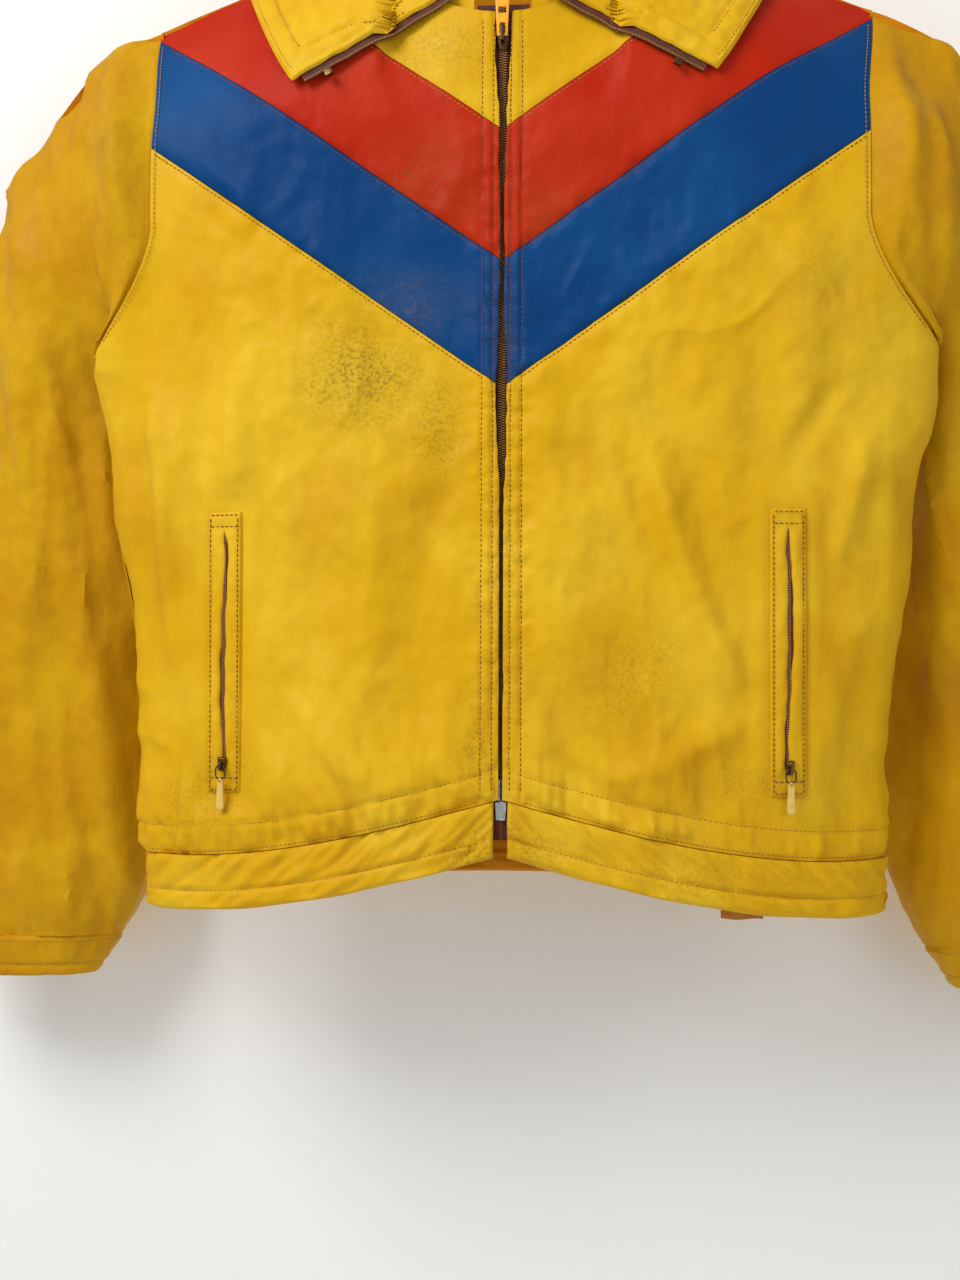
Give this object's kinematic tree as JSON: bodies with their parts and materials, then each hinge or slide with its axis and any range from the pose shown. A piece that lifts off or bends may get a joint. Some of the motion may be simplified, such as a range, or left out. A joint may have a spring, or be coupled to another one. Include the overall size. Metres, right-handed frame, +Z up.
{
  "type": "ski jacket",
  "caption": "Waist-length zip-front ski jacket with a chevron yoke, turned-down collar, zipped welt pockets and padded hem band, hanging from its neck loop.",
  "frame": {"origin": "where a hook bears inside the hang loop at the back of the neck", "axes": "+X to the wearer's left, +Y to the wearer's back, +Z up"},
  "size_m": [0.7852, 0.1606, 0.7011],
  "materials": {
    "yellow_nylon": "woven nylon taffeta over thin wadding, semi-matt",
    "red_nylon": "woven nylon taffeta, semi-matt",
    "blue_nylon": "woven nylon taffeta, semi-matt",
    "lining_taffeta": "smooth lining taffeta, slight sheen",
    "zip_tape": "woven polyester tape, matt",
    "zip_coil": "nylon coil",
    "bright_aluminium": "die cast, bright",
    "antique_brass": "darkened",
    "amber_plastic": "moulded",
    "pull_enamel": "stove enamel",
    "ribbon": "woven ribbon",
    "label_cloth": "woven, blank"
  },
  "bodies": {
    "torso": {"front_panel_left": "yellow_nylon", "blue_band_left": "blue_nylon", "red_band_left": "red_nylon", "yoke_left": "yellow_nylon", "waistband_front_left": "yellow_nylon", "front_panel_right": "yellow_nylon", "blue_band_right": "blue_nylon", "red_band_right": "red_nylon", "yoke_right": "yellow_nylon", "waistband_front_right": "yellow_nylon", "back_panel": "yellow_nylon", "waistband_back": "yellow_nylon", "lining_front_left": "lining_taffeta", "lining_front_right": "lining_taffeta", "lining_back": "lining_taffeta", "neck_label": "label_cloth", "hang_loop": "ribbon", "zip_tape_left": "zip_tape", "zip_coil_left": "zip_coil", "zip_pin_left": "bright_aluminium", "zip_tape_right": "zip_tape", "zip_coil_right": "zip_coil", "zip_pin_right": "bright_aluminium", "zip_box": "bright_aluminium", "pocket_welt_left": "yellow_nylon", "pocket_zip_left": "zip_tape", "pocket_bag_left": "lining_taffeta", "pocket_welt_right": "yellow_nylon", "pocket_zip_right": "zip_tape", "pocket_bag_right": "lining_taffeta", "collar_stand": "yellow_nylon"},
    "main_slider": {"main_slider": "antique_brass"},
    "main_pull": {"main_pull": "amber_plastic"},
    "pocket_slider_left": {"pocket_slider_left": "antique_brass"},
    "pocket_pull_left": {"pocket_ring_left": "antique_brass", "pocket_pull_left": "pull_enamel"},
    "upper_sleeve_left": {"upper_sleeve_left": "yellow_nylon", "upper_sleeve_lining_left": "lining_taffeta"},
    "lower_sleeve_left": {"lower_sleeve_left": "yellow_nylon", "cuff_left": "yellow_nylon", "lower_sleeve_lining_left": "lining_taffeta"},
    "pocket_slider_right": {"pocket_slider_right": "antique_brass"},
    "pocket_pull_right": {"pocket_ring_right": "antique_brass", "pocket_pull_right": "pull_enamel"},
    "upper_sleeve_right": {"upper_sleeve_right": "yellow_nylon", "upper_sleeve_lining_right": "lining_taffeta"},
    "lower_sleeve_right": {"lower_sleeve_right": "yellow_nylon", "cuff_right": "yellow_nylon", "lower_sleeve_lining_right": "lining_taffeta"},
    "collar_left": {"collar_leaf_left": "yellow_nylon", "collar_tape_left": "zip_tape", "top_stop_left": "antique_brass"},
    "collar_right": {"collar_leaf_right": "yellow_nylon", "collar_tape_right": "zip_tape", "top_stop_right": "antique_brass"},
    "collar_back": {"collar_leaf_back": "yellow_nylon"},
    "hem_tab": {"hem_tab": "ribbon"}
  },
  "joints": [
    {"name": "main_zip_slide", "type": "slide", "parent": "torso", "child": "main_slider", "axis": [0, 0.0388, 0.9992], "range_m": [-0.457, 0]},
    {"name": "main_pull_flip", "type": "hinge", "parent": "main_slider", "child": "main_pull", "pos_m": [0, -0.07301, -0.08974], "axis": [1, 0, 0], "range_deg": [0, 170]},
    {"name": "pocket_zip_slide_left", "type": "slide", "parent": "torso", "child": "pocket_slider_left", "axis": [0, 0.0139, 0.9999], "range_m": [0, 0.138]},
    {"name": "pocket_pull_flip_left", "type": "hinge", "parent": "pocket_slider_left", "child": "pocket_pull_left", "pos_m": [0.17329, -0.07978, -0.53501], "axis": [-0.9774, -0.2112, 0.0029], "range_deg": [0, 150]},
    {"name": "pocket_zip_slide_right", "type": "slide", "parent": "torso", "child": "pocket_slider_right", "axis": [0, 0.0139, 0.9999], "range_m": [0, 0.138]},
    {"name": "pocket_pull_flip_right", "type": "hinge", "parent": "pocket_slider_right", "child": "pocket_pull_right", "pos_m": [-0.17329, -0.07978, -0.53501], "axis": [-0.9774, 0.2112, -0.0029], "range_deg": [0, 150]},
    {"name": "shoulder_raise_left", "type": "hinge", "parent": "torso", "child": "upper_sleeve_left", "pos_m": [0.229, -0.012, -0.06], "axis": [0, -1, 0], "range_deg": [0, 75]},
    {"name": "elbow_bend_left", "type": "hinge", "parent": "upper_sleeve_left", "child": "lower_sleeve_left", "pos_m": [0.344, -0.011, -0.3926], "axis": [-0.7071, -0.7071, 0], "range_deg": [0, 70]},
    {"name": "shoulder_raise_right", "type": "hinge", "parent": "torso", "child": "upper_sleeve_right", "pos_m": [-0.229, -0.012, -0.06], "axis": [0, 1, 0], "range_deg": [0, 75]},
    {"name": "elbow_bend_right", "type": "hinge", "parent": "upper_sleeve_right", "child": "lower_sleeve_right", "pos_m": [-0.344, -0.011, -0.3926], "axis": [-0.7071, 0.7071, 0], "range_deg": [0, 70]},
    {"name": "collar_turn_left", "type": "hinge", "parent": "torso", "child": "collar_left", "pos_m": [0.02881, -0.07026, -0.05855], "axis": [-0.4932, -0.5268, -0.6923], "range_deg": [0, 95]},
    {"name": "collar_turn_right", "type": "hinge", "parent": "torso", "child": "collar_right", "pos_m": [-0.02881, -0.07026, -0.05855], "axis": [-0.4932, 0.5268, 0.6923], "range_deg": [0, 95]},
    {"name": "collar_turn_back", "type": "hinge", "parent": "torso", "child": "collar_back", "pos_m": [0, -0.01083, 0.01748], "axis": [1, 0, 0], "range_deg": [0, 95]},
    {"name": "hem_tab_swing", "type": "hinge", "parent": "torso", "child": "hem_tab", "pos_m": [0.148, 0.00381, -0.60327], "axis": [-1, 0, 0], "range_deg": [0, 60]}
  ]
}
